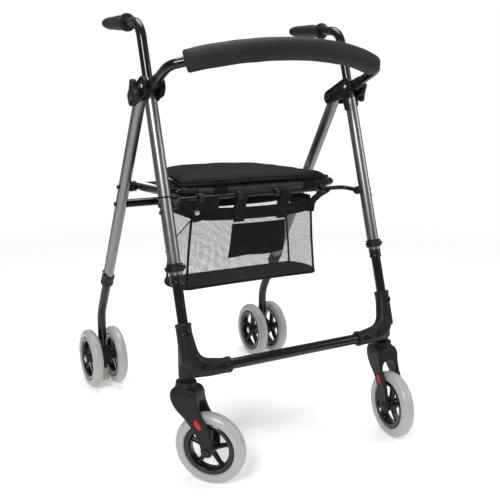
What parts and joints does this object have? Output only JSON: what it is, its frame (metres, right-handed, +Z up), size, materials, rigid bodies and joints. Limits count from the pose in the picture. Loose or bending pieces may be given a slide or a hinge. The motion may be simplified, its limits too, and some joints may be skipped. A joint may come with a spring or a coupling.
{
  "type": "rollator walker",
  "caption": "Folding walker with twin rear wheels, swivel front casters, height-adjustable handles, seat with backrest and a mesh storage bag.",
  "frame": {"origin": "centre of the bounding box on the floor", "axes": "+Z up; the casters and backrest face -Y; the person walking stands at +Y"},
  "size_m": [0.5836, 0.7467, 0.9184],
  "materials": {
    "silver_tube": "satin anodised",
    "black_tube": "gloss black paint",
    "black_plastic": "fine textured",
    "gloss_plastic": "moulded gloss",
    "grey_tyre": "smooth light grey tread",
    "bolt": "zinc plated",
    "foam": "closed-cell foam skin",
    "seat_fabric": "fine black weave",
    "bag_mesh": "open mesh with black bands",
    "cream_rubber": "soft matte"
  },
  "bodies": {
    "front_frame": {"front_upper_tube_right": "silver_tube", "lock_ring_right": "black_plastic", "end_bushing_right": "black_plastic", "hub_inner_plate_right": "black_plastic", "hub_outer_plate_right": "black_plastic", "pivot_bolt_right": "bolt", "hub_bolt_right": "bolt", "front_upper_tube_left": "silver_tube", "lock_ring_left": "black_plastic", "end_bushing_left": "black_plastic", "hub_inner_plate_left": "black_plastic", "hub_outer_plate_left": "black_plastic", "pivot_bolt_left": "bolt", "hub_bolt_left": "bolt", "backrest_bar": "black_tube", "backrest_pad": "foam", "front_rod": "black_tube", "storage_bag": "bag_mesh"},
    "front_lower": {"front_lower_tube_right": "black_tube", "corner_bracket_right": "black_plastic", "front_lower_tube_left": "black_tube", "corner_bracket_left": "black_plastic", "cross_bar": "black_tube"},
    "rear_frame": {"rear_upper_tube_right": "silver_tube", "rear_collar_right": "black_plastic", "rear_upper_tube_left": "silver_tube", "rear_collar_left": "black_plastic", "rear_cross_tube": "black_tube"},
    "seat": {"seat_frame": "black_tube", "seat_cushion": "seat_fabric"},
    "caster_right": {"caster_fork_right": "black_plastic", "caster_cap_right": "black_plastic", "front_axle_right": "bolt"},
    "front_wheel_right": {"wheel_centre_front_right": "gloss_plastic", "tyre_front_right": "grey_tyre"},
    "rear_lower_right": {"rear_lower_tube_right": "black_tube", "brake_foot_right": "cream_rubber"},
    "brake_carriage_right": {"wheel_carriage_right": "black_plastic"},
    "rear_wheel_right_outer": {"wheel_centre_rear_right_outer": "gloss_plastic", "tyre_rear_right_outer": "grey_tyre"},
    "rear_wheel_right_inner": {"wheel_centre_rear_right_inner": "gloss_plastic", "tyre_rear_right_inner": "grey_tyre"},
    "handle_right": {"handle_tube_right": "black_tube", "handle_grip_right": "black_plastic"},
    "knob_right": {"handle_knob_right": "black_plastic"},
    "caster_left": {"caster_fork_left": "black_plastic", "caster_cap_left": "black_plastic", "front_axle_left": "bolt"},
    "front_wheel_left": {"wheel_centre_front_left": "gloss_plastic", "tyre_front_left": "grey_tyre"},
    "rear_lower_left": {"rear_lower_tube_left": "black_tube", "brake_foot_left": "cream_rubber"},
    "brake_carriage_left": {"wheel_carriage_left": "black_plastic"},
    "rear_wheel_left_outer": {"wheel_centre_rear_left_outer": "gloss_plastic", "tyre_rear_left_outer": "grey_tyre"},
    "rear_wheel_left_inner": {"wheel_centre_rear_left_inner": "gloss_plastic", "tyre_rear_left_inner": "grey_tyre"},
    "handle_left": {"handle_tube_left": "black_tube", "handle_grip_left": "black_plastic"},
    "knob_left": {"handle_knob_left": "black_plastic"}
  },
  "joints": [
    {"name": "frame_fold", "type": "hinge", "parent": "front_frame", "child": "rear_frame", "pos_m": [0, -0.044, 0.744], "axis": [-1, 0, 0], "range_deg": [0, 26], "deforming": ["storage_bag"]},
    {"name": "seat_tilt", "type": "hinge", "parent": "rear_frame", "child": "seat", "pos_m": [0, 0.07633, 0.54916], "axis": [-1, 0, 0], "range_deg": [0, 40]},
    {"name": "front_leg_length", "type": "slide", "parent": "front_frame", "child": "front_lower", "axis": [0, 0.309, 0.9511], "range_m": [0, 0.0762]},
    {"name": "caster_swivel_right", "type": "hinge", "parent": "front_lower", "child": "caster_right", "pos_m": [-0.2415, -0.25, 0.15], "axis": [0, 0, 1], "continuous": true},
    {"name": "front_wheel_spin_right", "type": "hinge", "parent": "caster_right", "child": "front_wheel_right", "pos_m": [-0.20804, -0.28716, 0.0735], "axis": [0.7431, 0.6691, 0], "continuous": true},
    {"name": "rear_leg_length_right", "type": "slide", "parent": "rear_frame", "child": "rear_lower_right", "axis": [0, -0.5255, 0.8508], "range_m": [0, 0.0762]},
    {"name": "brake_right", "type": "slide", "parent": "rear_lower_right", "child": "brake_carriage_right", "axis": [0, 0, 1], "range_m": [0, 0.011], "stiffness_N_per_m": 6000, "springref_m": -0.012},
    {"name": "rear_wheel_spin_right_outer", "type": "hinge", "parent": "brake_carriage_right", "child": "rear_wheel_right_outer", "pos_m": [-0.2735, 0.298, 0.075], "axis": [1, 0, 0], "continuous": true},
    {"name": "rear_wheel_spin_right_inner", "type": "hinge", "parent": "brake_carriage_right", "child": "rear_wheel_right_inner", "pos_m": [-0.2095, 0.298, 0.075], "axis": [1, 0, 0], "continuous": true},
    {"name": "handle_height_right", "type": "slide", "parent": "front_frame", "child": "handle_right", "axis": [0, 0.309, 0.9511], "range_m": [0, 0.1]},
    {"name": "knob_turn_right", "type": "hinge", "parent": "front_frame", "child": "knob_right", "pos_m": [-0.2415, -0.09796, 0.75783], "axis": [-1, 0, 0], "range_deg": [0, 120]},
    {"name": "caster_swivel_left", "type": "hinge", "parent": "front_lower", "child": "caster_left", "pos_m": [0.2415, -0.25, 0.15], "axis": [0, 0, 1], "continuous": true},
    {"name": "front_wheel_spin_left", "type": "hinge", "parent": "caster_left", "child": "front_wheel_left", "pos_m": [0.23627, -0.29973, 0.0735], "axis": [0.9945, -0.1045, 0], "continuous": true},
    {"name": "rear_leg_length_left", "type": "slide", "parent": "rear_frame", "child": "rear_lower_left", "axis": [0, -0.5255, 0.8508], "range_m": [0, 0.0762]},
    {"name": "brake_left", "type": "slide", "parent": "rear_lower_left", "child": "brake_carriage_left", "axis": [0, 0, 1], "range_m": [0, 0.011], "stiffness_N_per_m": 6000, "springref_m": -0.012},
    {"name": "rear_wheel_spin_left_outer", "type": "hinge", "parent": "brake_carriage_left", "child": "rear_wheel_left_outer", "pos_m": [0.2735, 0.298, 0.075], "axis": [1, 0, 0], "continuous": true},
    {"name": "rear_wheel_spin_left_inner", "type": "hinge", "parent": "brake_carriage_left", "child": "rear_wheel_left_inner", "pos_m": [0.2095, 0.298, 0.075], "axis": [1, 0, 0], "continuous": true},
    {"name": "handle_height_left", "type": "slide", "parent": "front_frame", "child": "handle_left", "axis": [0, 0.309, 0.9511], "range_m": [0, 0.1]},
    {"name": "knob_turn_left", "type": "hinge", "parent": "front_frame", "child": "knob_left", "pos_m": [0.2415, -0.09796, 0.75783], "axis": [1, 0, 0], "range_deg": [0, 120]}
  ],
  "couplings": [
    {"joint": "seat_tilt", "follows": "frame_fold", "ratio": 1.4}
  ]
}
